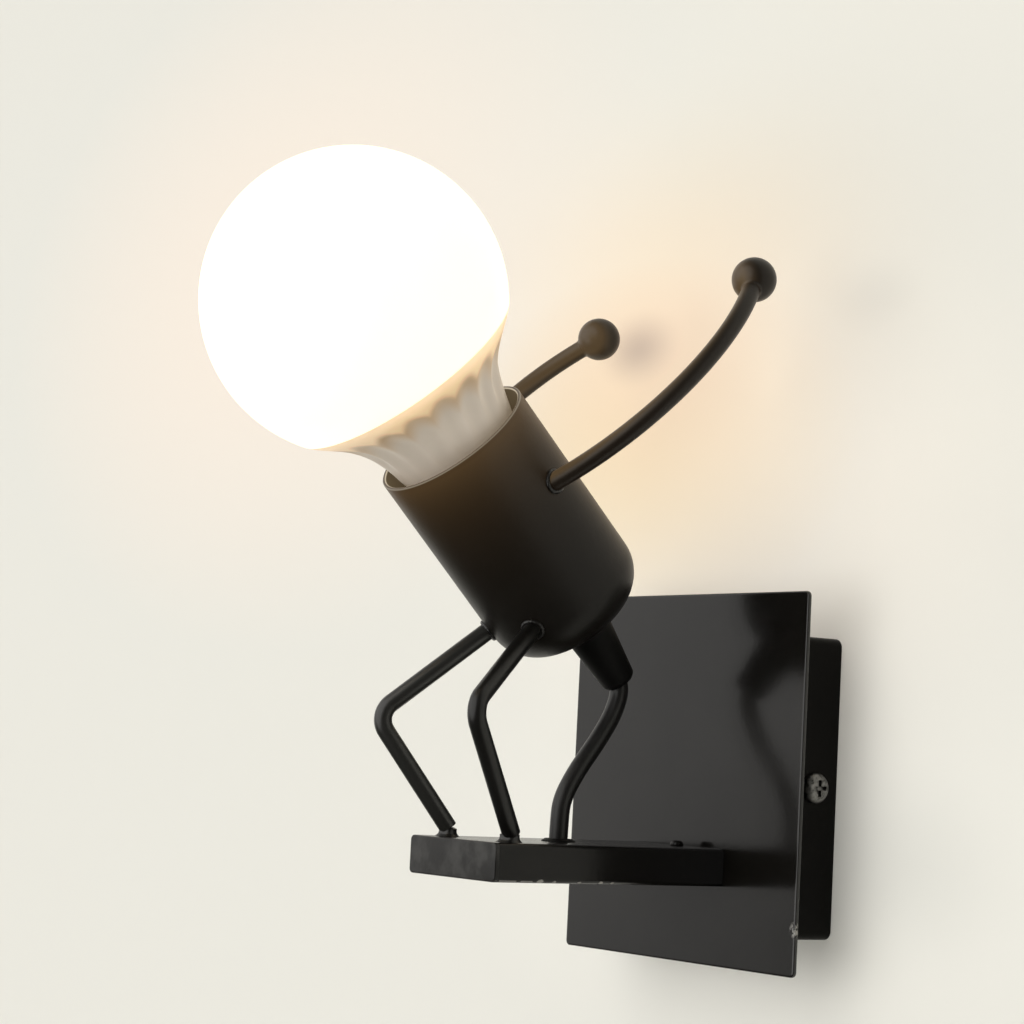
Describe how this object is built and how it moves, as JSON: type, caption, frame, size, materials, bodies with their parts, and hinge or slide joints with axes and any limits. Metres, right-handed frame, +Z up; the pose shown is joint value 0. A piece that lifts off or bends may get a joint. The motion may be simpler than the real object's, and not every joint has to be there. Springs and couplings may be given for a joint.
{
  "type": "wall lamp",
  "caption": "Wall lamp shaped as a bent-rod figure on a flat bar, with raised arms, whose cup-shaped body holds a screw-in globe bulb.",
  "frame": {"origin": "middle of the wall strap's hole pattern, on its back face, which lies on the wall", "axes": "+Y into the wall, +Z up, +X to the right as seen from the room; the lamp stands out towards -Y"},
  "size_m": [0.1014, 0.1731, 0.2057],
  "materials": {
    "black_coat": "semi-gloss black powder coat",
    "black_plate": "glossy black powder coat",
    "zinc": "zinc-plated steel",
    "dark_screw": "blackened steel",
    "black_plastic": "matt black moulding",
    "cable_black": "smooth black sheath",
    "live_core": "brown insulation",
    "neutral_core": "blue insulation",
    "earth_core": "green and yellow insulation",
    "block_plastic": "off-white moulding",
    "brass": "bright brass",
    "holder_ceramic": "unglazed white",
    "opal": "opal, lit from inside",
    "bulb_white": "off-white moulding",
    "cap_metal": "nickel-plated",
    "cap_insulator": "black",
    "solder": "tinned",
    "board_white": "white solder mask",
    "chip_yellow": "phosphor",
    "board_green": "green board"
  },
  "bodies": {
    "lamp": {"wall_bracket": "zinc", "bracket_earth_screw": "zinc", "side_screw_right": "dark_screw", "side_screw_left": "dark_screw", "back_box": "black_coat", "front_plate": "black_plate", "bar_tongue": "zinc", "support_bar": "black_coat", "bar_end_cap": "black_coat", "bar_lock_screw": "dark_screw", "bar_grommet": "black_plastic", "lamp_cable": "cable_black", "live_wire": "live_core", "neutral_wire": "neutral_core", "earth_wire": "earth_core", "earth_tag": "zinc", "box_earth_screw": "zinc", "terminal_block": "block_plastic", "terminal_clamps": "brass", "terminal_screws": "zinc", "terminal_block_screw": "zinc", "lamp_cup": "black_coat", "threaded_tube": "zinc", "lock_nut": "zinc", "cord_grip": "black_plastic", "holder_body": "holder_ceramic", "holder_shell": "brass", "centre_contact": "brass", "holder_terminal_screws": "brass", "holder_leads": "live_core", "right_leg": "black_coat", "left_leg": "black_coat", "right_arm": "black_coat", "left_arm": "black_coat", "right_hand_ball": "black_coat", "left_hand_ball": "black_coat", "hip_welds": "black_coat", "shoulder_welds": "black_coat", "foot_welds": "black_coat"},
    "bulb_tip": {"bulb_cap_insulator": "cap_insulator", "bulb_tip_contact": "solder"},
    "bulb": {"bulb_screw_cap": "cap_metal", "bulb_housing": "bulb_white", "bulb_diffuser": "opal", "bulb_light_board": "board_white", "bulb_light_chips": "chip_yellow", "bulb_driver_board": "board_green"}
  },
  "joints": [
    {"name": "bulb_rise", "type": "slide", "parent": "lamp", "child": "bulb_tip", "axis": [0, -0.7071, 0.7071], "range_m": [0, 0.01815]},
    {"name": "bulb_turn", "type": "hinge", "parent": "bulb_tip", "child": "bulb", "pos_m": [0, -0.08953, 0.07333], "axis": [0, -0.7071, 0.7071], "range_deg": [0, 1800]}
  ],
  "couplings": [
    {"joint": "bulb_rise", "follows": "bulb_turn", "m_per_rad": 0.00057757}
  ]
}
